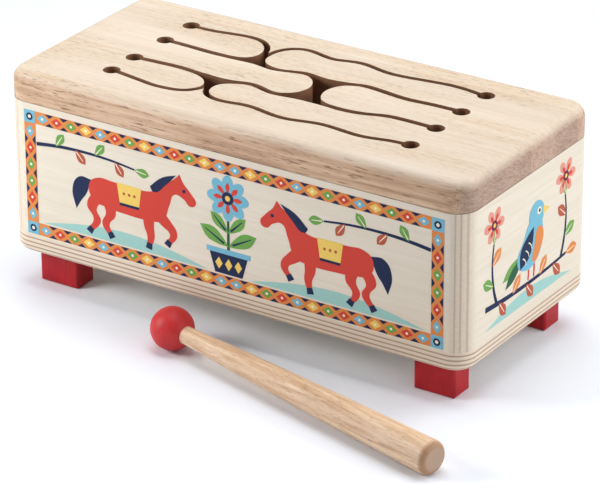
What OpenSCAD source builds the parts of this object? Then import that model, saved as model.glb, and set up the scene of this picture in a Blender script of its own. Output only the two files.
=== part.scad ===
// Child's wooden tongue drum (slit drum) with its ball-headed mallet, in millimetres.
// +X runs along the drum, -Y is its printed front, +Z is up, and everything rests on z = 0.
// The origin lies under the middle of the whole set, drum and mallet together.

/* [Drum body] */
// Length over the end panels
drum_length = 300; // [240:1:400]
// Depth over the front and back panels
drum_depth = 135; // [110:1:180]
// Radius of the four upright corners, routed after the box is glued up
corner_radius = 13; // [9:0.5:25]
// Thickness of the plywood walls
wall_thickness = 9; // [6:0.5:15]
// Height of the walls, between the base and the top board
wall_height = 81; // [50:1:120]
// Thickness of the plywood base
base_thickness = 12; // [6:0.5:18]
// Round along the base's lower edge
base_edge_radius = 5; // [1:0.5:8]

/* [Top board] */
// Thickness of the solid-wood board the tongues are cut from
top_thickness = 18; // [12:0.5:25]
// Round along the board's upper edge
top_edge_radius = 7; // [2:0.5:8]
// Width of the sawn slit around each tongue
slit_width = 3.6; // [2:0.1:6]
// Diameter of the hole drilled where each slit stops
stop_hole_diameter = 10; // [6:0.5:14]
// Distance from the middle of the board to the stop holes
stop_hole_reach = 97; // [80:0.5:120]

/* [Feet] */
// Length of each block foot, along the drum
foot_length = 26; // [15:0.5:40]
// Width of each block foot
foot_width = 16; // [10:0.5:30]
// Height of each foot
foot_height = 21.5; // [10:0.5:35]
// Distance from the drum's end to the foot's outer side
foot_inset_x = 12; // [4:0.5:30]
// Distance from the drum's front or back to the foot's outer side
foot_inset_y = 11; // [4:0.5:30]
// Softening of the foot's edges
foot_edge_radius = 1.6; // [0.5:0.1:4]

/* [Mallet] */
// Diameter of the wooden ball
ball_diameter = 24.8; // [18:0.1:40]
// Handle diameter where it enters the ball
neck_diameter = 10.2; // [6:0.1:14]
// Handle diameter at its thick end
butt_diameter = 19.3; // [10:0.1:24]
// Round at the thick end
butt_edge_radius = 4; // [1:0.1:5]
// Distance from the ball's centre to the end of the handle
mallet_reach = 203; // [120:0.1:260]
// Depth the handle goes into the ball, past the ball's centre
spigot_past_centre = 3; // [0:0.5:6]
// How much the handle swells halfway along, over a straight taper
handle_swell = 1.3; // [0:0.1:3]
// Gap left for glue around the spigot
glue_gap = 0.05; // [0.02:0.01:0.2]
// Ball centre from the drum's middle, along the drum
mallet_x = -24.3; // [-200:0.1:200]
// Ball centre from the drum's middle, across the drum
mallet_y = -87.7; // [-200:0.1:-80]
// Direction of the handle, seen from above
mallet_turn = -13.35; // [-90:0.01:90]

/* [Placement] */
// Middle of the drum, measured from the origin along X
drum_x = -12.5; // [-50:0.5:50]
// Middle of the drum, measured from the origin along Y
drum_y = 38; // [0:0.5:80]

/* [Hidden] */
base_bottom = foot_height;
wall_bottom = base_bottom + base_thickness;
top_bottom = wall_bottom + wall_height;
half_length = drum_length / 2;
half_depth = drum_depth / 2;
ball_radius = ball_diameter / 2;
butt_radius = butt_diameter / 2;
// The butt touches the floor where its round begins, so the mallet leans down towards it.
contact_reach = mallet_reach - butt_edge_radius;
mallet_tilt = asin((ball_radius - butt_radius) / contact_reach);
// Points along the turned handle, from the ball to the thick end: radius, distance from the ball's centre.
handle_side = [for (i = [0 : 5])
    [neck_diameter / 2 + (butt_radius - neck_diameter / 2) * i / 5 + handle_swell / 2 * sin(36 * i),
        ball_radius + (contact_reach - ball_radius) * i / 5]];
smooth_steps = 5;
bore_clear = 0.4;

// Tongue outlines, from one stop hole round the free end to the next one.
tongue_back_left = [[-98.8, 37.4], [-82.5, 37.5], [-62.3, 40.9], [-52.2, 40.3], [-45.5, 36.2],
    [-41.5, 30.2], [-40.4, 23.5], [-43.2, 17.7], [-49.9, 14.7], [-64, 14.3], [-82.3, 15.2], [-98.5, 15.8]];
tongue_back_right = [[95.5, 17.7], [79.4, 17.6], [61.2, 16.7], [37, 19.8], [23.9, 17.1], [10.8, 15.4],
    [-3.4, 17.1], [-17.5, 13.2], [-26.6, 14.2], [-32.1, 18.1], [-34, 24.5], [-32.3, 33.7], [-27.3, 39.9],
    [-18.8, 42.3], [-1.6, 39], [15.6, 42.3], [38.9, 38.3], [74.2, 42.2], [95.3, 39.5]];
tongue_middle_left = [[-98.4, 11.7], [-82.2, 11.2], [-64, 10.2], [-49.8, 10.4], [-35.7, 11], [-21.5, 9.1],
    [-4.3, 13], [2.7, 10.9], [7.4, 5.6], [9.4, -1.1], [7.6, -8.3], [3, -13.2], [-4.1, -15.4],
    [-19.3, -11.7], [-35.4, -15], [-51.6, -14.4], [-66.7, -12.8], [-81.9, -13.3], [-98.1, -14.3]];
tongue_middle_right = [[95.7, -8.9], [77.5, -8.3], [65.5, -9.1], [53.4, -13], [41.3, -14.6], [30.2, -13.8],
    [23.5, -10.5], [19.8, -3.6], [19.6, 3.6], [22.5, 10.1], [28, 14.2], [37, 15.7], [61.3, 12.6],
    [79.4, 13.5], [95.5, 13.6]];
tongue_front_left = [[-98.1, -18.4], [-81.9, -17.4], [-66.7, -16.9], [-54.5, -18.5], [-46.4, -22.4],
    [-42.3, -28.7], [-43.9, -34.8], [-50.3, -40.1], [-63.4, -41.7], [-75.5, -39.9], [-97.8, -36]];
tongue_front_right = [[95.8, -35.5], [84.8, -36.3], [67.7, -39.5], [42.5, -37.5], [19.4, -41.6],
    [-3.8, -37.9], [-20, -39.9], [-29.1, -38.5], [-34.2, -34.4], [-36, -28.3], [-34.3, -22.6],
    [-28.3, -18.3], [-19.2, -15.8], [-4, -19.5], [13.1, -17.7], [29.2, -17.9], [41.4, -18.7],
    [53.4, -17.1], [65.5, -13.2], [77.6, -12.4], [95.7, -12.9]];
tongues = [tongue_back_left, tongue_back_right, tongue_middle_left, tongue_middle_right,
    tongue_front_left, tongue_front_right];
// Where three tongues meet, the saw clears the corner between two round ends: x0, x1, y0, y1.
saw_corners = [[-48, -26, 11.3, 26.3], [0, 28, -16.2, 14], [-51.4, -28.4, -26.6, -16.6]];
// The height of each slit's two stop holes across the board.
left_stops = [39.2, 13.4, -16.6, -38.4];
right_stops = [41.8, 15.5, -10.8, -36.8];

// A smooth curve through the points of one outline.
function curve_point(a, b, c, d, t) =
    0.5 * (2 * b + (c - a) * t + (2 * a - 5 * b + 4 * c - d) * t * t + (3 * b - a - 3 * c + d) * t * t * t);
function smooth_path(p) = concat(
    [for (i = [0 : len(p) - 2], k = [0 : smooth_steps - 1])
        curve_point(p[max(i - 1, 0)], p[i], p[i + 1], p[min(i + 2, len(p) - 1)], k / smooth_steps)],
    [p[len(p) - 1]]);
function unit(v) = v / norm(v);
function path_side(p, i) =
    let (d = unit(p[min(i + 1, len(p) - 1)] - p[max(i - 1, 0)])) [-d.y, d.x];
function beside(p, w) = [for (i = [0 : len(p) - 1]) p[i] + w * path_side(p, i)];
function backwards(p) = [for (i = [len(p) - 1 : -1 : 0]) p[i]];

module place_drum() {
    translate([drum_x, drum_y, 0])
        children();
}

// Plan of the drum with its routed corners.
module plan() {
    square([drum_length - 2 * corner_radius, drum_depth], center = true);
    square([drum_length, drum_depth - 2 * corner_radius], center = true);
    for (x = [-1, 1], y = [-1, 1])
        translate([x * (half_length - corner_radius), y * (half_depth - corner_radius)])
            circle(r = corner_radius, $fn = 64);
}

// Section from the corner's centre outwards, with a round on its upper edge.
module rim_section(height, round_radius) {
    square([corner_radius, height - round_radius]);
    square([corner_radius - round_radius, height]);
    translate([corner_radius - round_radius, height - round_radius])
        intersection() {
            circle(r = round_radius, $fn = 48);
            square(round_radius);
        }
}

// Board with the drum's plan and one rounded edge all round, on z = 0.
module rounded_board(height, round_radius) {
    core_x = drum_length - 2 * corner_radius;
    core_y = drum_depth - 2 * corner_radius;
    translate([-core_x / 2, -core_y / 2, 0])
        cube([core_x, core_y, height]);
    for (corner = [[1, 1, 0], [-1, 1, 90], [-1, -1, 180], [1, -1, 270]])
        translate([corner.x * core_x / 2, corner.y * core_y / 2, 0])
            rotate([0, 0, corner.z])
                rotate_extrude(angle = 90, $fn = 96)
                    rim_section(height, round_radius);
    for (side = [0, 180]) {
        rotate([0, 0, side])
            translate([core_x / 2, core_y / 2, 0])
                rotate([90, 0, 0])
                    linear_extrude(core_y)
                        rim_section(height, round_radius);
        rotate([0, 0, side])
            translate([-core_x / 2, core_y / 2, 0])
                rotate([90, 0, 90])
                    linear_extrude(core_x)
                        rim_section(height, round_radius);
    }
}

// One slit: the strip just outside a tongue's outline.
module slit_strip(outline) {
    path = smooth_path(outline);
    polygon(concat(path, backwards(beside(path, slit_width))));
}

module all_slits() {
    difference() {
        union() {
            for (outline = tongues)
                slit_strip(outline);
            for (c = saw_corners)
                translate([c[0], c[2]])
                    square([c[1] - c[0], c[3] - c[2]]);
        }
        for (outline = tongues)
            polygon(smooth_path(outline));
    }
}

module top_board() {
    color([0.92, 0.83, 0.70])
        place_drum()
            translate([0, 0, top_bottom])
                difference() {
                    rounded_board(top_thickness, top_edge_radius);
                    translate([0, 0, -1])
                        linear_extrude(top_thickness + 2)
                            all_slits();
                    for (y = left_stops)
                        translate([-stop_hole_reach, y, -1])
                            cylinder(h = top_thickness + 2, d = stop_hole_diameter, $fn = 48);
                    for (y = right_stops)
                        translate([stop_hole_reach, y, -1])
                            cylinder(h = top_thickness + 2, d = stop_hole_diameter, $fn = 48);
                }
}

// Part of the drum's plan between two x and two y limits, as tall as the walls.
module wall_piece(x0, x1, y0, y1) {
    color([0.93, 0.88, 0.79])
        place_drum()
            translate([0, 0, wall_bottom])
                linear_extrude(wall_height)
                    intersection() {
                        plan();
                        translate([x0, y0])
                            square([x1 - x0, y1 - y0]);
                    }
}

module front_panel() {
    wall_piece(wall_thickness - half_length, half_length - wall_thickness,
        -half_depth, wall_thickness - half_depth);
}

module back_panel() {
    wall_piece(wall_thickness - half_length, half_length - wall_thickness,
        half_depth - wall_thickness, half_depth);
}

module left_end_panel() {
    wall_piece(-half_length, wall_thickness - half_length, -half_depth, half_depth);
}

module right_end_panel() {
    wall_piece(half_length - wall_thickness, half_length, -half_depth, half_depth);
}

module base_panel() {
    color([0.90, 0.84, 0.74])
        place_drum()
            translate([0, 0, wall_bottom])
                mirror([0, 0, 1])
                    rounded_board(base_thickness, base_edge_radius);
}

// Rectangle with softened corners, from the origin.
module soft_rectangle(a, b, r) {
    translate([r, 0])
        square([a - 2 * r, b]);
    translate([0, r])
        square([a, b - 2 * r]);
    for (x = [r, a - r], y = [r, b - r])
        translate([x, y])
            circle(r = r, $fn = 24);
}

module foot(side_x, side_y) {
    x0 = side_x > 0 ? half_length - foot_inset_x - foot_length : foot_inset_x - half_length;
    y0 = side_y > 0 ? half_depth - foot_inset_y - foot_width : foot_inset_y - half_depth;
    color([0.70, 0.12, 0.15])
        place_drum()
            translate([x0, y0, 0])
                intersection() {
                    linear_extrude(foot_height)
                        soft_rectangle(foot_length, foot_width, foot_edge_radius);
                    translate([0, foot_width, 0])
                        rotate([90, 0, 0])
                            linear_extrude(foot_width)
                                soft_rectangle(foot_length, foot_height + foot_edge_radius * 2, foot_edge_radius);
                    rotate([90, 0, 90])
                        linear_extrude(foot_length)
                            soft_rectangle(foot_width, foot_height + foot_edge_radius * 2, foot_edge_radius);
                }
}

module foot_front_left() {
    foot(-1, -1);
}

module foot_front_right() {
    foot(1, -1);
}

module foot_back_left() {
    foot(-1, 1);
}

module foot_back_right() {
    foot(1, 1);
}

// Mallet axis: the ball's centre is at zero and the handle runs along +Z before it is laid down.
module lay_mallet() {
    place_drum()
        translate([mallet_x, mallet_y, ball_radius])
            rotate([0, 0, mallet_turn])
                rotate([0, 90 + mallet_tilt, 0])
                    children();
}

module mallet_head() {
    color([0.76, 0.14, 0.17])
        lay_mallet()
            difference() {
                sphere(d = ball_diameter, $fn = 64);
                translate([0, 0, -spigot_past_centre - bore_clear])
                    cylinder(h = ball_diameter, d = neck_diameter + 2 * glue_gap, $fn = 48);
            }
}

module mallet_handle() {
    color([0.86, 0.72, 0.52])
        lay_mallet()
            rotate_extrude($fn = 64) {
                translate([0, -spigot_past_centre])
                    square([neck_diameter / 2, ball_radius + spigot_past_centre]);
                polygon(concat([[0, ball_radius]], handle_side, [[0, contact_reach]]));
                translate([0, contact_reach])
                    square([butt_radius - butt_edge_radius, butt_edge_radius]);
                translate([butt_radius - butt_edge_radius, contact_reach])
                    intersection() {
                        circle(r = butt_edge_radius, $fn = 48);
                        square(butt_edge_radius);
                    }
            }
}

top_board();
front_panel();
back_panel();
left_end_panel();
right_end_panel();
base_panel();
foot_front_left();
foot_front_right();
foot_back_left();
foot_back_right();
mallet_head();
mallet_handle();
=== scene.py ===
import bpy
import bmesh
import math
from mathutils import Matrix, Vector


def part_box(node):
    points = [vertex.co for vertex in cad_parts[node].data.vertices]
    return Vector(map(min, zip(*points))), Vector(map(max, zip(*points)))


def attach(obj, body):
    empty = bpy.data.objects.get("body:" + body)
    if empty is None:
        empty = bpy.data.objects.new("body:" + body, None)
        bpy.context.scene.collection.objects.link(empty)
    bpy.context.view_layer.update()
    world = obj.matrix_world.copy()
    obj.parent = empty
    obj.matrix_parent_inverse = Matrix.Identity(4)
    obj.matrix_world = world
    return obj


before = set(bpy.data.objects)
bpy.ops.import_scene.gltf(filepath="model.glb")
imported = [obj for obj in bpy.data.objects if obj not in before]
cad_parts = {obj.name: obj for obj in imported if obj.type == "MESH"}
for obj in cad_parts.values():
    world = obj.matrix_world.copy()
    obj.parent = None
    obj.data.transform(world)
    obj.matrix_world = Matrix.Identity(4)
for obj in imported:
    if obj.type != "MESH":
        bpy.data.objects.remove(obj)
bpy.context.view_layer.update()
mm = 0.001
scene = bpy.context.scene

topLow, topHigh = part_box("top_board")
baseLow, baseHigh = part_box("base_panel")
drumMiddle = (topLow + topHigh) / 2
halfLength = (topHigh.x - topLow.x) / 2
halfDepth = (topHigh.y - topLow.y) / 2
print("frame loaded, drum middle", tuple(round(v, 4) for v in drumMiddle))


def toLinear(hexColour):
    channels = [int(hexColour[i:i + 2], 16) / 255 for i in (0, 2, 4)]
    return [c / 12.92 if c <= 0.04045 else ((c + 0.055) / 1.055) ** 2.4 for c in channels] + [1.0]


def addNode(tree, kind, links=None, values=None, **settings):
    made = tree.nodes.new("ShaderNode" + kind)
    for name, value in settings.items():
        setattr(made, name, value)
    for socket, value in (values or {}).items():
        made.inputs[socket].default_value = value
    for socket, source in (links or {}).items():
        tree.links.new(source, made.inputs[socket])
    return made


def setStops(ramp, stops):
    # colour ramp from (position, hex) pairs
    elements = ramp.color_ramp.elements
    while len(elements) > 1:
        elements.remove(elements[-1])
    elements[0].position, elements[0].color = stops[0][0], toLinear(stops[0][1])
    for position, colour in stops[1:]:
        elements.new(position).color = toLinear(colour)


def startMaterial(name):
    material = bpy.data.materials.new(name)
    material.use_nodes = True
    tree = material.node_tree
    tree.nodes.clear()
    surface = addNode(tree, "BsdfPrincipled")
    addNode(tree, "OutputMaterial", {"Surface": surface.outputs["BSDF"]})
    place = addNode(tree, "TexCoord")
    # object coordinates in millimetres from the drum's middle on the floor
    local = addNode(tree, "Mapping", {"Vector": place.outputs["Object"]},
                    {"Scale": (1 / mm, 1 / mm, 1 / mm),
                     "Location": (-drumMiddle.x / mm, -drumMiddle.y / mm, 0)})
    return material, tree, surface, local.outputs["Vector"]


topWood = {
    "face": "DBC9B1", "faceWarm": "D6BD9F", "faceLight": "E0D1BC",
    "side": "CBA583", "sideDark": "9B7455", "sideLight": "E0C3A3",
    "end": "C4A28A", "endDark": "B39079", "endLight": "D0B199",
    # the last colour here is painted shade for the walls inside the slits
    "pore": "70492F", "sawn": "94694A",
    "staveWidth": 25.0,                      # mm, the strips the board is glued up from
    "grainLength": 80.0, "grainWidth": 2.6,
    "poreLength": 5.0, "poreWidth": 0.6,     # real pores are 0.3 mm wide, drawn wider so that they show
    "streakLength": 11.0, "streakWidth": 1.1,   # sparse long open pores on the routed sides
    "rayLength": 5.0, "rayWidth": 0.9,       # fine lines in the sawn ends
    "patch": 55.0,                           # mm, size of the soft changes of tone
}


def makeTopWood():
    # Rubberwood, glued up from staves, sanded and given a matt lacquer: creamy flat faces with short fine pores,
    # browner routed sides, and ends where every stave shows its own tone.
    material, tree, surface, local = startMaterial("rubberwood_glued_sanded_lacquered")
    w = topWood
    axis = addNode(tree, "SeparateXYZ", {"Vector": local})
    staveNumber = addNode(tree, "Math", {0: axis.outputs["Y"]}, {1: w["staveWidth"]}, operation="DIVIDE")
    staveStep = addNode(tree, "Math", {0: staveNumber.outputs[0]}, operation="FLOOR")
    staveTone = addNode(tree, "TexWhiteNoise", {"W": staveStep.outputs[0]}, noise_dimensions="1D")
    staveJump = addNode(tree, "Math", {0: staveStep.outputs[0]}, {1: 137.0}, operation="MULTIPLY")
    shifted = addNode(tree, "CombineXYZ", {"X": staveJump.outputs[0], "Z": staveJump.outputs[0]})
    inStave = addNode(tree, "VectorMath", {0: local, 1: shifted.outputs[0]}, operation="ADD")

    grainPlace = addNode(tree, "Mapping", {"Vector": inStave.outputs[0]},
                         {"Scale": (1 / w["grainLength"], 1 / w["grainWidth"], 1 / w["grainWidth"])})
    grain = addNode(tree, "TexNoise", {"Vector": grainPlace.outputs[0]},
                    {"Scale": 1.0, "Detail": 4.0, "Roughness": 0.6, "Distortion": 0.2})
    patchPlace = addNode(tree, "Mapping", {"Vector": local},
                         {"Scale": (0.5 / w["patch"], 1.6 / w["patch"], 1.6 / w["patch"])})
    patch = addNode(tree, "TexNoise", {"Vector": patchPlace.outputs[0]}, {"Scale": 1.0, "Detail": 2.0})
    porePlace = addNode(tree, "Mapping", {"Vector": inStave.outputs[0]},
                        {"Scale": (1 / w["poreLength"], 1 / w["poreWidth"], 1 / w["poreWidth"])})
    pore = addNode(tree, "TexNoise", {"Vector": porePlace.outputs[0]},
                   {"Scale": 1.0, "Detail": 1.0, "Roughness": 0.4})
    poreMask = addNode(tree, "MapRange", {"Value": pore.outputs[0]},
                       {"From Min": 0.56, "From Max": 0.72, "To Min": 0.0, "To Max": 1.0})
    streakPlace = addNode(tree, "Mapping", {"Vector": inStave.outputs[0]},
                          {"Scale": (1 / w["streakLength"], 1 / w["streakWidth"], 1 / w["streakWidth"])})
    streak = addNode(tree, "TexNoise", {"Vector": streakPlace.outputs[0]}, {"Scale": 1.0, "Detail": 2.0})
    streakMask = addNode(tree, "MapRange", {"Value": streak.outputs[0]},
                         {"From Min": 0.60, "From Max": 0.70, "To Min": 0.0, "To Max": 0.8})
    poreHere = addNode(tree, "MapRange", {"Value": patch.outputs[0]},
                       {"From Min": 0.40, "From Max": 0.62, "To Min": 0.15, "To Max": 1.0})
    poreAmount = addNode(tree, "Math", {0: poreMask.outputs[0], 1: poreHere.outputs[0]}, operation="MULTIPLY")
    # growth rings cross each stave's end at their own slant
    slant = addNode(tree, "Math", {0: staveTone.outputs["Value"]}, {1: 2.6}, operation="MULTIPLY")
    slanted = addNode(tree, "VectorRotate", {"Vector": inStave.outputs[0], "Angle": slant.outputs[0]},
                      rotation_type="X_AXIS")
    rayPlace = addNode(tree, "Mapping", {"Vector": slanted.outputs[0]},
                       {"Scale": (1 / w["rayLength"], 1 / w["rayLength"], 1 / w["rayWidth"])})
    ray = addNode(tree, "TexNoise", {"Vector": rayPlace.outputs[0]}, {"Scale": 1.0, "Detail": 3.0})

    both = addNode(tree, "Mix", {2: grain.outputs[0], 3: patch.outputs[0]}, {0: 0.45}, data_type="FLOAT")
    faceRamp = addNode(tree, "ValToRGB", {"Fac": both.outputs[0]})
    setStops(faceRamp, [(0.36, w["faceLight"]), (0.50, w["face"]), (0.66, w["faceWarm"])])
    # painted shade: the routed sides are made paler towards the left and darker towards the right, where less light
    # falls
    along = addNode(tree, "MapRange", {"Value": axis.outputs["X"]},
                    {"From Min": -150.0, "From Max": 60.0, "To Min": -0.07, "To Max": 0.05})
    sideGrainAndShade = addNode(tree, "Math", {0: both.outputs[0], 1: along.outputs[0]}, operation="ADD")
    sideColourAndShade = addNode(tree, "ValToRGB", {"Fac": sideGrainAndShade.outputs[0]})
    setStops(sideColourAndShade, [(0.38, w["sideLight"]), (0.50, w["side"]), (0.64, w["sideDark"])])
    endRamp = addNode(tree, "ValToRGB", {"Fac": ray.outputs[0]})
    setStops(endRamp, [(0.32, w["endLight"]), (0.50, w["end"]), (0.70, w["endDark"])])
    endTone = addNode(tree, "MapRange", {"Value": staveTone.outputs["Value"]}, {"To Min": 0.74, "To Max": 1.04})
    endToned = addNode(tree, "VectorMath", {0: endRamp.outputs[0], "Scale": endTone.outputs[0]}, operation="SCALE")
    faceTone = addNode(tree, "MapRange", {"Value": staveTone.outputs["Value"]}, {"To Min": 0.95, "To Max": 1.03})
    faceToned = addNode(tree, "VectorMath", {0: faceRamp.outputs[0], "Scale": faceTone.outputs[0]},
                        operation="SCALE")
    facing = addNode(tree, "NewGeometry")
    facingAxis = addNode(tree, "SeparateXYZ", {"Vector": facing.outputs["Normal"]})
    endWays = addNode(tree, "Math", {0: facingAxis.outputs["X"]}, operation="ABSOLUTE")
    onEnd = addNode(tree, "MapRange", {"Value": endWays.outputs[0]},
                    {"From Min": 0.45, "From Max": 0.8, "To Min": 0.0, "To Max": 1.0})
    onTop = addNode(tree, "MapRange", {"Value": facingAxis.outputs["Z"]},
                    {"From Min": 0.2, "From Max": 0.9, "To Min": 0.0, "To Max": 1.0})
    upright = addNode(tree, "Mix", {0: onEnd.outputs[0], 6: sideColourAndShade.outputs[0], 7: endToned.outputs[0]},
                      data_type="RGBA")
    base = addNode(tree, "Mix", {0: onTop.outputs[0], 6: upright.outputs[2], 7: faceToned.outputs[0]},
                   data_type="RGBA")
    # painted shade: the walls inside the slits are coloured a darker brown to stand for the shade that falls in the
    # slits
    inLength = addNode(tree, "Math", {0: axis.outputs["X"]}, operation="ABSOLUTE")
    inDepth = addNode(tree, "Math", {0: axis.outputs["Y"]}, operation="ABSOLUTE")
    awayX = addNode(tree, "Math", {0: inLength.outputs[0]}, {1: halfLength / mm - 8}, operation="LESS_THAN")
    awayY = addNode(tree, "Math", {0: inDepth.outputs[0]}, {1: halfDepth / mm - 8}, operation="LESS_THAN")
    inside = addNode(tree, "Math", {0: awayX.outputs[0], 1: awayY.outputs[0]}, operation="MULTIPLY")
    notTop = addNode(tree, "Math", {0: facingAxis.outputs["Z"]}, {1: 0.5}, operation="LESS_THAN")
    slitShadeMask = addNode(tree, "Math", {0: inside.outputs[0], 1: notTop.outputs[0]}, operation="MULTIPLY")
    slitShaded = addNode(tree, "Mix", {0: slitShadeMask.outputs[0], 6: base.outputs[2]}, {7: toLinear(w["sawn"])},
                    data_type="RGBA")
    poreShade = addNode(tree, "MapRange", {"Value": onTop.outputs[0]}, {"To Min": 0.72, "To Max": 0.5})
    poreMix = addNode(tree, "Math", {0: poreAmount.outputs[0], 1: poreShade.outputs[0]}, operation="MULTIPLY")
    poured = addNode(tree, "Mix", {0: poreMix.outputs[0], 6: slitShaded.outputs[2]},
                     {7: toLinear(w["pore"])}, data_type="RGBA")
    offTop = addNode(tree, "Math", {1: onTop.outputs[0]}, {0: 1.0}, operation="SUBTRACT")
    streakMix = addNode(tree, "Math", {0: streakMask.outputs[0], 1: offTop.outputs[0]}, operation="MULTIPLY")
    streaked = addNode(tree, "Mix", {0: streakMix.outputs[0], 6: poured.outputs[2]},
                       {7: toLinear(w["pore"])}, data_type="RGBA")
    # a shadow line where the board sits on the walls
    seam = addNode(tree, "MapRange", {"Value": axis.outputs["Z"]},
                   {"From Min": topLow.z / mm + 0.1, "From Max": topLow.z / mm + 0.7, "To Min": 0.4, "To Max": 1.0})
    coloured = addNode(tree, "VectorMath", {0: streaked.outputs[2], "Scale": seam.outputs[0]}, operation="SCALE")
    tree.links.new(coloured.outputs[0], surface.inputs["Base Color"])
    rough = addNode(tree, "MapRange", {"Value": grain.outputs[0]}, {"To Min": 0.50, "To Max": 0.68})
    tree.links.new(rough.outputs[0], surface.inputs["Roughness"])
    relief = addNode(tree, "Math", {0: poreAmount.outputs[0]}, {1: -1.0}, operation="MULTIPLY")
    bump = addNode(tree, "Bump", {"Height": relief.outputs[0]}, {"Strength": 0.3, "Distance": 0.12 * mm})
    tree.links.new(bump.outputs[0], surface.inputs["Normal"])
    surface.inputs["IOR"].default_value = 1.5
    return material


plywood = {
    "face": "E4D8C3", "faceLight": "E8DDC9", "faceWarm": "DECFB7",
    # mm of each ply, colour of the plies cut along their grain and of those cut across it
    "walls": (9 / 7, "E3D3BD", "CCB69C"),    # seven plies
    "base": (12 / 9, "E5D4BD", "AF9070"),    # nine plies
    "grainLength": 70.0, "grainWidth": 1.8,
}


def makePlywood(name, plyAxis, grainAxis, surfaceAt, inward, board):
    # Birch plywood, sanded with a matt lacquer: a calm creamy veneer on the faces, and on every routed edge pale
    # plies with thin brown ones between them.
    material, tree, surface, local = startMaterial(name)
    w = plywood
    plyThickness, longPly, crossPly = w[board]
    axis = addNode(tree, "SeparateXYZ", {"Vector": local})
    waver = addNode(tree, "TexNoise", {"Vector": local}, {"Scale": 0.03, "Detail": 2.0})
    waverBy = addNode(tree, "MapRange", {"Value": waver.outputs[0]}, {"To Min": -0.25, "To Max": 0.25})
    depth = addNode(tree, "Math", {0: axis.outputs[plyAxis]}, {1: surfaceAt}, operation="SUBTRACT")
    inwards = addNode(tree, "Math", {0: depth.outputs[0]}, {1: inward}, operation="MULTIPLY")
    wavered = addNode(tree, "Math", {0: inwards.outputs[0], 1: waverBy.outputs[0]}, operation="ADD")
    # one turn of the cosine is two plies, with its crest in the middle of the outer one
    turns = addNode(tree, "Math", {0: wavered.outputs[0]}, {1: math.pi / plyThickness, 2: -math.pi / 2},
                    operation="MULTIPLY_ADD")
    layers = addNode(tree, "Math", {0: turns.outputs[0]}, operation="COSINE")
    crossing = addNode(tree, "MapRange", {"Value": layers.outputs[0]},
                       {"From Min": -0.15, "From Max": -0.95, "To Min": 0.0, "To Max": 1.0})

    grainScale = {"X": (1 / w["grainLength"], 1 / w["grainWidth"], 1 / w["grainWidth"]),
                  "Y": (1 / w["grainWidth"], 1 / w["grainLength"], 1 / w["grainWidth"])}[grainAxis]
    grainPlace = addNode(tree, "Mapping", {"Vector": local}, {"Scale": grainScale})
    grain = addNode(tree, "TexNoise", {"Vector": grainPlace.outputs[0]},
                    {"Scale": 1.0, "Detail": 4.0, "Roughness": 0.6, "Distortion": 0.15})
    veneer = addNode(tree, "ValToRGB", {"Fac": grain.outputs[0]})
    setStops(veneer, [(0.30, w["faceLight"]), (0.52, w["face"]), (0.85, w["faceWarm"])])
    fibre = addNode(tree, "MapRange", {"Value": grain.outputs[0]}, {"To Min": 0.86, "To Max": 1.12})
    plyColour = addNode(tree, "Mix", {0: crossing.outputs[0]},
                        {6: toLinear(longPly), 7: toLinear(crossPly)}, data_type="RGBA")
    fibrous = addNode(tree, "VectorMath", {0: plyColour.outputs[2], "Scale": fibre.outputs[0]}, operation="SCALE")
    onEdge = addNode(tree, "MapRange", {"Value": inwards.outputs[0]},
                     {"From Min": 0.25, "From Max": 0.75, "To Min": 0.0, "To Max": 1.0})
    coloured = addNode(tree, "Mix", {0: onEdge.outputs[0], 6: veneer.outputs[0], 7: fibrous.outputs[0]},
                       data_type="RGBA")
    tree.links.new(coloured.outputs[2], surface.inputs["Base Color"])
    rough = addNode(tree, "MapRange", {"Value": grain.outputs[0]}, {"To Min": 0.48, "To Max": 0.66})
    tree.links.new(rough.outputs[0], surface.inputs["Roughness"])
    bump = addNode(tree, "Bump", {"Height": grain.outputs[0]}, {"Strength": 0.12, "Distance": 0.1 * mm})
    tree.links.new(bump.outputs[0], surface.inputs["Normal"])
    surface.inputs["IOR"].default_value = 1.5
    return material


redStain = {
    "feet": ("9E0B15", "B5161F"), "ball": ("BE2629", "D03534"),
    "grainLength": 12.0, "grainWidth": 0.8,
}


def makeRedStain(name, colours):
    # Beech blocks and a turned ball dipped in red stain and sprayed with a satin lacquer: an even strong red, a broad
    # soft highlight, and grain that only just shows.
    material, tree, surface, local = startMaterial(name)
    w = redStain
    deep, bright = w[colours]
    grainPlace = addNode(tree, "Mapping", {"Vector": local},
                         {"Scale": (1 / w["grainWidth"], 1 / w["grainWidth"], 1 / w["grainLength"])})
    grain = addNode(tree, "TexNoise", {"Vector": grainPlace.outputs[0]},
                    {"Scale": 1.0, "Detail": 2.0, "Roughness": 0.5})
    cloud = addNode(tree, "TexNoise", {"Vector": local}, {"Scale": 0.09, "Detail": 1.0})
    both = addNode(tree, "Math", {0: grain.outputs[0], 1: cloud.outputs[0]}, operation="ADD")
    half = addNode(tree, "Math", {0: both.outputs[0]}, {1: 0.5}, operation="MULTIPLY")
    ramp = addNode(tree, "ValToRGB", {"Fac": half.outputs[0]})
    setStops(ramp, [(0.36, deep), (0.60, bright)])
    tree.links.new(ramp.outputs[0], surface.inputs["Base Color"])
    rough = addNode(tree, "MapRange", {"Value": grain.outputs[0]}, {"To Min": 0.42, "To Max": 0.52})
    tree.links.new(rough.outputs[0], surface.inputs["Roughness"])
    bump = addNode(tree, "Bump", {"Height": grain.outputs[0]}, {"Strength": 0.10, "Distance": 0.08 * mm})
    tree.links.new(bump.outputs[0], surface.inputs["Normal"])
    surface.inputs["IOR"].default_value = 1.5
    surface.inputs["Specular IOR Level"].default_value = 0.32
    return material


handleWood = {
    "light": "EED2B0", "body": "DDB994", "dark": "BC8E68", "pore": "946B4C",
    "shoulder": "A67A56", "endGrain": "B3957D",
    "grainLength": 38.0, "grainWidth": 2.4, "poreLength": 5.0, "poreWidth": 0.5,
}


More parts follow.
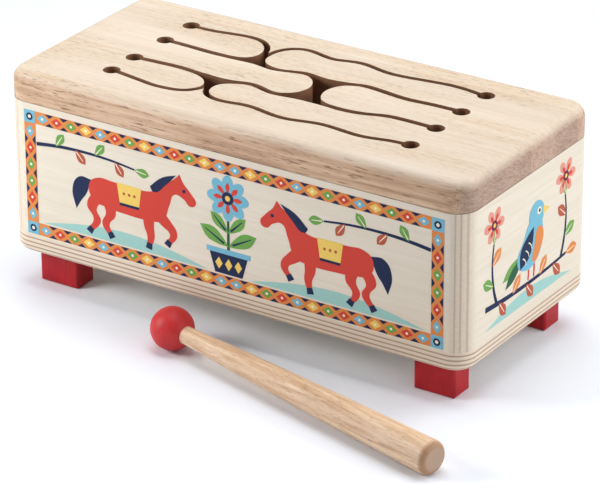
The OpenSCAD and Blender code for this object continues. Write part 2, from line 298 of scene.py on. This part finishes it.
def makeHandleWood():
    # Turned rubberwood, sanded with a matt lacquer: honey-coloured, with long streaks and short open pores that run
    # along the handle.
    material, tree, surface, local = startMaterial("rubberwood_turned_lacquered")
    w = handleWood
    low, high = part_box("mallet_handle")
    ballLow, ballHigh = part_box("mallet_head")
    ball = (ballLow + ballHigh) / 2
    turn = math.atan2((low.y + high.y) / 2 - ball.y, (low.x + high.x) / 2 - ball.x)
    along = addNode(tree, "VectorRotate", {"Vector": local}, {"Angle": -turn}, rotation_type="Z_AXIS")
    grainPlace = addNode(tree, "Mapping", {"Vector": along.outputs[0]},
                         {"Scale": (1 / w["grainLength"], 1 / w["grainWidth"], 1 / w["grainWidth"])})
    grain = addNode(tree, "TexNoise", {"Vector": grainPlace.outputs[0]},
                    {"Scale": 1.0, "Detail": 3.0, "Roughness": 0.55, "Distortion": 0.4})
    ramp = addNode(tree, "ValToRGB", {"Fac": grain.outputs[0]})
    setStops(ramp, [(0.30, w["light"]), (0.52, w["body"]), (0.78, w["dark"])])
    porePlace = addNode(tree, "Mapping", {"Vector": along.outputs[0]},
                        {"Scale": (1 / w["poreLength"], 1 / w["poreWidth"], 1 / w["poreWidth"])})
    pore = addNode(tree, "TexNoise", {"Vector": porePlace.outputs[0]}, {"Scale": 1.0, "Detail": 1.0})
    poreMask = addNode(tree, "MapRange", {"Value": pore.outputs[0]},
                       {"From Min": 0.58, "From Max": 0.74, "To Min": 0.0, "To Max": 0.55})
    piped = addNode(tree, "Mix", {0: poreMask.outputs[0], 6: ramp.outputs[0]}, {7: toLinear(w["pore"])},
                    data_type="RGBA")
    # lacquer gathers brown on the butt's rounded shoulder, and its flat end shows end grain
    facing = addNode(tree, "NewGeometry")
    endDirection = (math.cos(turn), math.sin(turn), 0.0)
    endWays = addNode(tree, "VectorMath", {0: facing.outputs["Normal"]}, {1: endDirection},
                      operation="DOT_PRODUCT")
    onShoulder = addNode(tree, "MapRange", {"Value": endWays.outputs["Value"]},
                         {"From Min": 0.08, "From Max": 0.65, "To Min": 0.0, "To Max": 0.85})
    onEnd = addNode(tree, "MapRange", {"Value": endWays.outputs["Value"]},
                    {"From Min": 0.95, "From Max": 0.99, "To Min": 0.0, "To Max": 0.9})
    shouldered = addNode(tree, "Mix", {0: onShoulder.outputs[0], 6: piped.outputs[2]},
                         {7: toLinear(w["shoulder"])}, data_type="RGBA")
    coloured = addNode(tree, "Mix", {0: onEnd.outputs[0], 6: shouldered.outputs[2]}, {7: toLinear(w["endGrain"])},
                       data_type="RGBA")
    tree.links.new(coloured.outputs[2], surface.inputs["Base Color"])
    rough = addNode(tree, "MapRange", {"Value": grain.outputs[0]}, {"To Min": 0.45, "To Max": 0.62})
    tree.links.new(rough.outputs[0], surface.inputs["Roughness"])
    relief = addNode(tree, "Math", {0: poreMask.outputs[0]}, {1: -1.0}, operation="MULTIPLY")
    bump = addNode(tree, "Bump", {"Height": relief.outputs[0]}, {"Strength": 0.3, "Distance": 0.12 * mm})
    tree.links.new(bump.outputs[0], surface.inputs["Normal"])
    surface.inputs["IOR"].default_value = 1.5
    return material


def makeInk():
    # Screen-printing ink on bare plywood: flat opaque colour with a dull sheen, a little thinner where the wood's
    # grain takes it up.
    material, tree, surface, local = startMaterial("screen_printed_ink")
    ink = addNode(tree, "Attribute", attribute_name="inkColour", attribute_type="GEOMETRY")
    soak = addNode(tree, "TexNoise", {"Vector": local}, {"Scale": 0.9, "Detail": 2.0, "Roughness": 0.6})
    strength = addNode(tree, "MapRange", {"Value": soak.outputs[0]}, {"To Min": 0.90, "To Max": 1.08})
    printed = addNode(tree, "VectorMath", {0: ink.outputs["Color"], "Scale": strength.outputs[0]},
                      operation="SCALE")
    tree.links.new(printed.outputs[0], surface.inputs["Base Color"])
    rough = addNode(tree, "MapRange", {"Value": soak.outputs[0]}, {"To Min": 0.60, "To Max": 0.78})
    tree.links.new(rough.outputs[0], surface.inputs["Roughness"])
    surface.inputs["IOR"].default_value = 1.48
    surface.inputs["Specular IOR Level"].default_value = 0.22
    return material


boardHalf = (halfLength / mm, halfDepth / mm)
wood = {
    "top_board": makeTopWood(),
    "front_panel": makePlywood("birch_plywood_front", "Y", "X", -boardHalf[1], 1.0, "walls"),
    "back_panel": makePlywood("birch_plywood_back", "Y", "X", boardHalf[1], -1.0, "walls"),
    "left_end_panel": makePlywood("birch_plywood_left_end", "X", "Y", -boardHalf[0], 1.0, "walls"),
    "right_end_panel": makePlywood("birch_plywood_right_end", "X", "Y", boardHalf[0], -1.0, "walls"),
    "base_panel": makePlywood("birch_plywood_base", "Z", "X", baseLow.z / mm, 1.0, "base"),
    "mallet_handle": makeHandleWood(),
}
wood["mallet_head"] = makeRedStain("beech_turned_red_stained", "ball")
redWood = makeRedStain("beech_block_red_stained", "feet")
for name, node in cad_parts.items():
    node.data.materials.clear()
    node.data.materials.append(wood.get(name, redWood))
inkMaterial = makeInk()
print("wood, stain and ink are mixed")

inks = {
    "orange": "DF8A49", "blue": "78B8CC", "green": "6FA34D", "navy": "1F2B4C", "yellow": "F0CC66",
    "red": "D24537", "pink": "E39885", "teal": "A0CCC2", "pine": "2C5F40",
    "cream": "F4E9D2", "rust": "B75B40", "plum": "6E2440",
}
printing = {
    "film": 0.05,        # mm, thickness of one layer of ink
    "layer": 0.03,       # mm, how much each further layer adds
    "pass": 0.0005,      # mm between one shape and the next, so that shapes that cross never share a surface
    "turnSteps": 6,      # steps a smooth outline takes from one point to the next
    "weld": 0.0005,      # mm, points of an outline closer than this are one
    "straight": 0.01,    # radians, an outline that turns less than this is straight
}


class Print:
    # One panel's print, drawn flat in millimetres: u along the panel, v up from the floor.
    def __init__(self):
        self.mesh = bmesh.new()
        self.colour = self.mesh.loops.layers.float_color.new("inkColour")
        self.count = 0

    def height(self, layer):
        self.count += 1
        return printing["film"] + layer * printing["layer"] + self.count * printing["pass"]

    def thicken(self, faces, layer, ink):
        top = self.height(layer)
        grown = bmesh.ops.extrude_face_region(self.mesh, geom=faces)
        raised = [g for g in grown["geom"] if isinstance(g, bmesh.types.BMVert)]
        bmesh.ops.translate(self.mesh, verts=raised, vec=(0, 0, top))
        touched = {f for v in raised for f in v.link_faces} | set(faces)
        for face in touched:
            for loop in face.loops:
                loop[self.colour] = toLinear(inks[ink])

    def patch(self, points, ink, layer=0):
        # straight-sided shape
        face = self.mesh.faces.new([self.mesh.verts.new((u, v, 0)) for u, v in points])
        face.normal_update()
        if face.normal.z < 0:
            face.normal_flip()
        self.thicken([face], layer, ink)

    def disc(self, u, v, radius, ink, layer=0, sides=28):
        place = Matrix.Translation((u, v, 0))
        made = bmesh.ops.create_circle(self.mesh, cap_ends=True, segments=sides, radius=radius, matrix=place)
        faces = list({f for vert in made["verts"] for f in vert.link_faces})
        self.thicken(faces, layer, ink)

    def diamond(self, u, v, halfWide, halfTall, ink, layer=0):
        self.patch([(u - halfWide, v), (u, v - halfTall), (u + halfWide, v), (u, v + halfTall)], ink, layer)

    def shape(self, points, ink, layer=0, sharp=()):
        # smooth closed outline through a few points; those listed in sharp keep a corner
        curve = bpy.data.curves.new("outline", "CURVE")
        curve.dimensions = "2D"
        curve.fill_mode = "BOTH"
        curve.resolution_u = printing["turnSteps"]
        line = curve.splines.new("BEZIER")
        line.bezier_points.add(len(points) - 1)
        line.use_cyclic_u = True
        for i, (u, v) in enumerate(points):
            knot = line.bezier_points[i]
            knot.co = (u, v, 0)
            kind = "VECTOR" if i in sharp else "AUTO"
            knot.handle_left_type = knot.handle_right_type = kind
        self.takeCurve(curve, ink, layer)

    def takeCurve(self, curve, ink, layer):
        holder = bpy.data.objects.new("outline", curve)
        scene.collection.objects.link(holder)
        bpy.context.view_layer.update()
        flat = bpy.data.meshes.new_from_object(holder.evaluated_get(bpy.context.evaluated_depsgraph_get()))
        drawn = bmesh.new()
        drawn.from_mesh(flat)
        bmesh.ops.remove_doubles(drawn, verts=drawn.verts, dist=printing["weld"])
        bmesh.ops.dissolve_limit(drawn, angle_limit=printing["straight"], verts=drawn.verts, edges=drawn.edges)
        for face in drawn.faces:
            if face.normal.z < 0:
                face.normal_flip()
        clean = bpy.data.meshes.new("outline")
        drawn.to_mesh(clean)
        drawn.free()
        before = set(self.mesh.faces)
        self.mesh.from_mesh(clean)
        self.thicken([f for f in self.mesh.faces if f not in before], layer, ink)
        bpy.data.objects.remove(holder)
        bpy.data.curves.remove(curve)
        bpy.data.meshes.remove(flat)
        bpy.data.meshes.remove(clean)

    def leaf(self, u, v, length, width, turn, ink, layer=0, blunt=False):
        # from its stalk at (u, v) towards turn degrees; pointed at the tip unless it is blunt
        c, s = math.cos(math.radians(turn)), math.sin(math.radians(turn))
        spots = [(0, 0), (0.30, 0.36), (0.66, 0.50), (1, 0), (0.66, -0.50), (0.30, -0.36)]
        points = []
        for along, across in spots:
            x, y = along * length, across * width
            points.append((u + x * c - y * s, v + x * s + y * c))
        self.shape(points, ink, layer, sharp=(0,) if blunt else (0, 3))

    def stroke(self, points, widths, ink, layer=0):
        # brush stroke whose width goes evenly from the first to the last of widths
        left, right = [], []
        last = len(points) - 1
        for i, (u, v) in enumerate(points):
            ahead, behind = points[min(i + 1, last)], points[max(i - 1, 0)]
            way = Vector((ahead[0] - behind[0], ahead[1] - behind[1])).normalized()
            half = (widths[0] + (widths[1] - widths[0]) * i / last) / 2
            left.append((u - way.y * half, v + way.x * half))
            right.append((u + way.y * half, v - way.x * half))
        self.shape(left + right[::-1], ink, layer, sharp=(0, last, last + 1, 2 * last + 1))


border = {
    "halfWidth": 137.0, "bottom": 34.5, "top": 110.5, "band": 7.5,   # mm
    "cellsAlong": 26, "cellsUp": 6,
    "diamondLong": 0.38, "diamondTall": 0.36,                        # half sizes, parts of a cell and of the band
    "toothWide": 0.30, "toothDeep": 0.30, "toothInset": 0.1,
    "dot": 0.8, "cornerDisc": 0.30, "cornerDot": 0.14,
    "order": ["blue", "red", "green", "yellow"],
}


def drawBorder(panel):
    # a plain border: an orange band with a diamond in each cell and a small tooth on each edge between two cells
    b = border
    w, low, high, t = b["halfWidth"], b["bottom"], b["top"], b["band"]
    across, upward = Vector((1, 0)), Vector((0, 1))
    runs = [(Vector((-w + t, v)), across, upward, 2 * (w - t), b["cellsAlong"]) for v in (low, high - t)]
    runs += [(Vector((u, low + t)), upward, across, high - low - 2 * t, b["cellsUp"]) for u in (-w, w - t)]
    order = b["order"]
    for start, way, over, length, cells in runs:
        pitch = length / cells
        panel.patch([start, start + way * length, start + way * length + over * t, start + over * t], "orange")
        for k in range(cells):
            middle = start + way * (k + 0.5) * pitch + over * t / 2
            fromEdge = min(k, cells - 1 - k)               # the colours mirror about the middle of the run
            long, tall = way * pitch * b["diamondLong"], over * t * b["diamondTall"]
            panel.patch([middle - long, middle - tall, middle + long, middle + tall], order[fromEdge % len(order)], 1)
            panel.disc(middle.x, middle.y, b["dot"], "cream", 2, sides=14)
        for k in range(1, cells):
            joint = start + way * k * pitch
            for edge, inward in ((joint, over), (joint + over * t, -over)):
                tooth, root = way * pitch * b["toothWide"], edge + inward * b["toothInset"]
                panel.patch([root - tooth, root + tooth, edge + inward * t * b["toothDeep"]], "navy", 1)
    for u in (-w + t / 2, w - t / 2):
        for v in (low + t / 2, high - t / 2):
            panel.patch([(u - t / 2, v - t / 2), (u + t / 2, v - t / 2), (u + t / 2, v + t / 2),
                         (u - t / 2, v + t / 2)], "blue")
            panel.disc(u, v, t * b["cornerDisc"], "navy", 1)
            panel.disc(u, v, t * b["cornerDot"], "cream", 2, sides=16)


twig = {
    "steps": 6, "taper": 0.5,
    "lean": 50,                          # degrees a leaf stands off its stem
    "leafWidth": 0.52,                   # part of its length
    "vein": (0.12, 0.45, 0.78), "veinWidth": (0.7, 0.35),
}


def drawTwig(panel, start, end, bow, width, leafInks, size):
    # a bowed stem with leaves to the left and right by turns
    t = twig
    start, end = Vector(start), Vector(end)
    over = Vector((start.y - end.y, end.x - start.x)).normalized()

    def at(f):
        return start.lerp(end, f) + over * bow * 4 * f * (1 - f)

    panel.stroke([at(k / t["steps"]) for k in range(t["steps"] + 1)], (width, width * t["taper"]), "navy", 1)
    for k, ink in enumerate(leafInks):
        f = (k + 1) / len(leafInks)
        way = at(f) - at(f - 0.05)
        lean = 0 if f == 1 else math.copysign(t["lean"], bow) * (-1) ** k
        turn = math.degrees(math.atan2(way.y, way.x)) + lean
        root = at(f)
        panel.leaf(root.x, root.y, size, size * t["leafWidth"], turn, ink, 2)
        out = Vector((math.cos(math.radians(turn)), math.sin(math.radians(turn)))) * size
        panel.stroke([root + out * g for g in t["vein"]], t["veinWidth"], "cream", 3)


def drawHill(panel, u, low, halfLength, height, steps=8):
    # pale ground, one arch of a sine
    ridge = [(u + halfLength * (1 - 2 * k / steps), low + height * math.sin(math.pi * k / steps))
             for k in range(steps + 1)]
    panel.shape(ridge, "teal", 0, sharp=(0, steps))


rosette = {
    # start, length and width, all parts of the flower's radius
    "petal": (0.15, 0.85, 0.52), "inner": (0.20, 0.50, 0.20),
    "heart": 0.28, "dot": 0.12,
}


def drawRosette(panel, u, v, radius, petals, flowerInks):
    # round flower: petals, a ring of short ones on them, and the heart
    petalInk, innerInk, heartInk = flowerInks
    for k in range(petals):
        turn = 360 * k / petals
        c, s = math.cos(math.radians(turn)) * radius, math.sin(math.radians(turn)) * radius
        start, length, width = rosette["petal"]
        panel.leaf(u + c * start, v + s * start, radius * length, radius * width, turn, petalInk, 2, blunt=True)
        start, length, width = rosette["inner"]
        panel.leaf(u + c * start, v + s * start, radius * length, radius * width, turn, innerInk, 4)
    panel.disc(u, v, radius * rosette["heart"], heartInk, 6)
    panel.disc(u, v, radius * rosette["dot"], "yellow", 7, sides=18)


horse = {
    "fromMiddle": 66.0, "ground": 46.0, "size": 1.18,
    "leg": (8.5, 3.2), "hoof": (3.6, 4.4), "hoofHalf": 1.6,      # widths at top and foot, and half the hoof's height
    "eye": 1.1, "dot": 0.9,
}


def drawHorse(panel, side):
    # a plain trotting horse with a saddle cloth; drawn facing right, hooves on 0, then sized and set in its place
    h = horse

    def put(points):
        return [(side * (x * h["size"] - h["fromMiddle"]), y * h["size"] + h["ground"]) for x, y in points]

    panel.shape(put([(-22, 27), (-29, 27), (-33, 20), (-31, 10), (-28, 15), (-25, 19)]), "navy", 1, sharp=(0, 3))
    for leg in ([(-16, 21), (-22, 13), (-19, 7), (-23, 1)], [(-13, 19), (-11, 12), (-14, 6), (-11, 1)],
                [(14, 20), (21, 15), (25, 10), (22, 5)], [(11, 19), (11, 11), (12, 6), (11, 1)]):
        panel.stroke(put(leg), h["leg"], "red", 1)
        (x, y), (kneeX, kneeY) = leg[3], leg[2]
        toe = Vector((x - kneeX, y - kneeY)).normalized() * h["hoofHalf"]
        panel.stroke(put([(x - toe.x, y - toe.y), (x, y), (x + toe.x, y + toe.y)]), h["hoof"], "navy", 2)
    panel.shape(put([(19, 16), (23, 25), (26, 31), (31, 30), (35, 27), (38, 29), (35, 34), (31, 38), (29, 42),
                     (26, 39), (20, 35), (14, 30), (3, 28.5), (-10, 29), (-18, 29), (-23, 25), (-21, 17), (-14, 15),
                     (-2, 14), (10, 14)]), "red", 2, sharp=(8,))
    panel.shape(put([(27, 41), (19, 38), (12, 32), (14, 29.6), (21, 34.6)]), "navy", 3, sharp=(0, 2))
    panel.patch(put([(-7, 29.3), (7, 29.1), (5.4, 18), (-5.4, 18)]), "yellow", 3)
    panel.patch(put([(-5.6, 19.4), (5.6, 19.4), (5.4, 18), (-5.4, 18)]), "navy", 4)
    for (u, v), radius, ink, sides in zip(put([(31.4, 34), (-3, 24.4), (0, 24.4), (3, 24.4)]),
                                          [h["eye"]] + 3 * [h["dot"]], ["navy"] + 3 * ["rust"], (18, 14, 14, 14)):
        panel.disc(u, v, radius, ink, 4, sides=sides)


potted = {
    "middle": 89.0, "radius": 13.6, "petals": 8,     # the flower
    "leaves": (21.0, 16.0), "firstLeaf": 60.0, "leafStep": 8.0,
    "firstLean": 62, "leanStep": 16,                 # degrees off the stem
}


def drawPottedFlower(panel):
    p = potted
    panel.patch([(-9, 43), (9, 43), (12.5, 55), (-12.5, 55)], "navy", 1)
    panel.patch([(-14.5, 55), (14.5, 55), (14.5, 58), (-14.5, 58)], "blue", 1)
    for k in (-1, 0, 1):
        panel.diamond(k * 6.4, 49, 2.4, 3.6, "yellow", 2)
    panel.stroke([(0, 58), (0, 70), (0, 82)], (1.9, 1.4), "pine", 1)
    for side in (1, -1):
        for k, length in enumerate(p["leaves"]):
            turn = 90 - side * (p["firstLean"] - p["leanStep"] * k)
            root = p["firstLeaf"] + p["leafStep"] * k
            panel.leaf(0, root, length, length * 0.38, turn, "green", 2)
            c, s = math.cos(math.radians(turn)) * length, math.sin(math.radians(turn)) * length
            panel.stroke([(c * f, root + s * f) for f in (0.15, 0.5, 0.82)], (1.3, 0.5), "navy", 3)
    drawRosette(panel, 0, p["middle"], p["radius"], p["petals"], ("blue", "red", "navy"))


def drawFront():
    panel = Print()
    for side in (1, -1):
        drawHill(panel, side * 70, 43, 56, 8)
        drawHorse(panel, side)
        drawTwig(panel, (side * -129, 91), (side * -62, 91), side * 2.5, 2.2,
                 ["green", "rust", "green", "rust", "green"], 10)
    drawPottedFlower(panel)
    drawBorder(panel)
    return panel


def drawBirdPanel():
    # a plain bird on a twig between two round flowers
    panel = Print()
    drawHill(panel, 0, 39, 46, 8)
    drawTwig(panel, (-46, 52), (40, 52), -2, 3.2, ["rust", "orange", "rust", "orange", "rust", "orange"], 12)
    for side, leafInks in ((-1, ["green", "orange", "green"]), (1, ["green", "rust", "green"])):
        drawTwig(panel, (side * 34, 51), (side * 38, 88), side * -3, 2.4, leafInks, 12)
        drawRosette(panel, side * 38, 99, 10.4, 6, ("pink", "red", "plum"))
    for turn, ink in ((-158, "green"), (-143, "pine")):
        panel.leaf(-6, 70, 24, 6.4, turn, ink, 2)
    for u in (-1, 5):
        panel.stroke([(u, 62), (u + 0.4, 57), (u, 52)], (1.5, 1.2), "red", 3)
    panel.shape([(-13, 66), (-5, 59), (6, 60), (13, 68), (14, 78), (10, 86), (0, 86), (-6, 78)], "blue", 4)
    panel.shape([(4, 61), (12, 67), (14, 77), (9, 80), (5, 70)], "orange", 5)
    panel.disc(7, 88, 8, "blue", 5)
    panel.patch([(14, 90.6), (21, 87.4), (14, 85.4)], "yellow", 5)
    panel.disc(9.6, 89.4, 2.2, "cream", 6, sides=22)
    panel.disc(9.8, 89.4, 1.1, "navy", 7, sides=18)
    panel.leaf(4, 82, 25, 11, -124, "navy", 6)
    for k in range(3):                                   # feather marks down the wing
        u, v = -1.4 - 3 * k, 74.4 - 3.6 * k
        panel.stroke([(u, v), (u + 2.6, v - 2.2), (u + 3.6, v - 5)], (0.8, 0.5), "cream", 7)
    return panel


panels = {
    # node: (drawing, turn about the upright axis, distance of the face from the drum's middle)
    "front_panel": (drawFront, 0.0, halfDepth),
    "right_end_panel": (drawBirdPanel, math.pi / 2, halfLength),
    "back_panel": (drawFront, math.pi, halfDepth),
    "left_end_panel": (drawBirdPanel, -math.pi / 2, halfLength),
}


def hangPrint(node, draw, turn, distance):
    panel = draw()
    # stand the drawing up on the face: u goes along the panel, v up, thickness outwards
    upright = Matrix(((1, 0, 0, 0), (0, 0, -1, 0), (0, 1, 0, 0), (0, 0, 0, 1)))
    place = (Matrix.Translation((drumMiddle.x, drumMiddle.y, 0)) @ Matrix.Rotation(turn, 4, "Z")
             @ Matrix.Translation((0, -distance, 0)) @ upright @ Matrix.Scale(mm, 4))
    bmesh.ops.transform(panel.mesh, matrix=place, verts=panel.mesh.verts)
    bmesh.ops.recalc_face_normals(panel.mesh, faces=panel.mesh.faces)
    data = bpy.data.meshes.new(node + "_print")
    panel.mesh.to_mesh(data)
    panel.mesh.free()
    piece = bpy.data.objects.new(node + "_print", data)
    scene.collection.objects.link(piece)
    data.materials.append(inkMaterial)
    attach(piece, "drum")
    print("printed", node, len(data.polygons), "faces")


for node, (draw, turn, distance) in panels.items():
    hangPrint(node, draw, turn, distance)

studio = {
    "floorSide": 12.0, "floorColour": "F6F9FD", "floorShade": "F4F7FC",
    "worldColour": "8FB0FA", "worldStrength": 0.085,
}
floorMesh = bmesh.new()
bmesh.ops.create_grid(floorMesh, x_segments=1, y_segments=1, size=studio["floorSide"] / 2)
floorData = bpy.data.meshes.new("floor")
floorMesh.to_mesh(floorData)
floorMesh.free()
floor = bpy.data.objects.new("floor", floorData)
scene.collection.objects.link(floor)
floorMaterial, floorTree, floorSurface, floorLocal = startMaterial("paper_sweep_matt_white")
paper = addNode(floorTree, "TexNoise", {"Vector": floorLocal}, {"Scale": 0.02, "Detail": 2.0})
paperRamp = addNode(floorTree, "ValToRGB", {"Fac": paper.outputs[0]})
setStops(paperRamp, [(0.3, studio["floorShade"]), (0.7, studio["floorColour"])])
floorTree.links.new(paperRamp.outputs[0], floorSurface.inputs["Base Color"])
floorSurface.inputs["Roughness"].default_value = 0.9
floorSurface.inputs["Specular IOR Level"].default_value = 0.0
floorData.materials.append(floorMaterial)

world = bpy.data.worlds.new("studio")
world.use_nodes = True
world.node_tree.nodes["Background"].inputs["Color"].default_value = toLinear(studio["worldColour"])
world.node_tree.nodes["Background"].inputs["Strength"].default_value = studio["worldStrength"]
scene.world = world

lamps = {
    # name: (place from the drum's middle in metres, side lengths in metres, watts)
    "overhead_softbox": ((0.0, 0.15, 1.10), (1.0, 0.8), 9.3),
    "back_right_softbox": ((0.8, 0.8, 0.8), (0.8, 0.6), 6.4),
    "back_left_softbox": ((-0.8, 0.7, 0.8), (0.8, 0.6), 2.3),
    "right_fill": ((1.2, 0.0, 0.5), (0.7, 0.6), 5.8),
    "front_left_fill": ((-0.5, -0.45, 0.35), (0.3, 0.3), 3.5),
}
lampTarget = Vector((drumMiddle.x, drumMiddle.y, 0.06))
for name, (spot, sides, watts) in lamps.items():
    light = bpy.data.lights.new(name, "AREA")
    light.shape = "RECTANGLE"
    light.size, light.size_y = sides
    light.energy = watts
    lamp = bpy.data.objects.new(name, light)
    scene.collection.objects.link(lamp)
    lamp.location = Vector((drumMiddle.x, drumMiddle.y, 0)) + Vector(spot)
    lamp.rotation_euler = (lampTarget - lamp.location).to_track_quat("-Z", "Y").to_euler()

lens = {
    "focal": 230.17, "sensor": 36.0,
    "azimuth": 33.36, "elevation": 25.327, "roll": -0.33,      # degrees
    "distance": 2.16807, "right": 0.001683, "up": 0.03042,     # metres from the drum's middle on the floor
}
azimuth, elevation, roll = (math.radians(lens[k]) for k in ("azimuth", "elevation", "roll"))
backward = Vector((math.sin(azimuth) * math.cos(elevation), -math.cos(azimuth) * math.cos(elevation),
                   math.sin(elevation)))
levelRight = Vector((math.cos(azimuth), math.sin(azimuth), 0))
levelUp = backward.cross(levelRight)
cameraRight = math.cos(roll) * levelRight + math.sin(roll) * levelUp
cameraUp = math.cos(roll) * levelUp - math.sin(roll) * levelRight
camera = bpy.data.objects.new("camera", bpy.data.cameras.new("camera"))
camera.data.sensor_width = lens["sensor"]
camera.data.lens = lens["focal"]
camera.data.clip_start, camera.data.clip_end = 0.05, 50
place = Matrix((cameraRight, cameraUp, backward)).transposed().to_4x4()
place.translation = (Vector((drumMiddle.x, drumMiddle.y, 0)) + backward * lens["distance"]
                     + cameraRight * lens["right"] + cameraUp * lens["up"])
camera.matrix_world = place
scene.collection.objects.link(camera)
scene.camera = camera
scene.view_settings.view_transform = "Standard"
print("floor, lamps and camera stand ready")
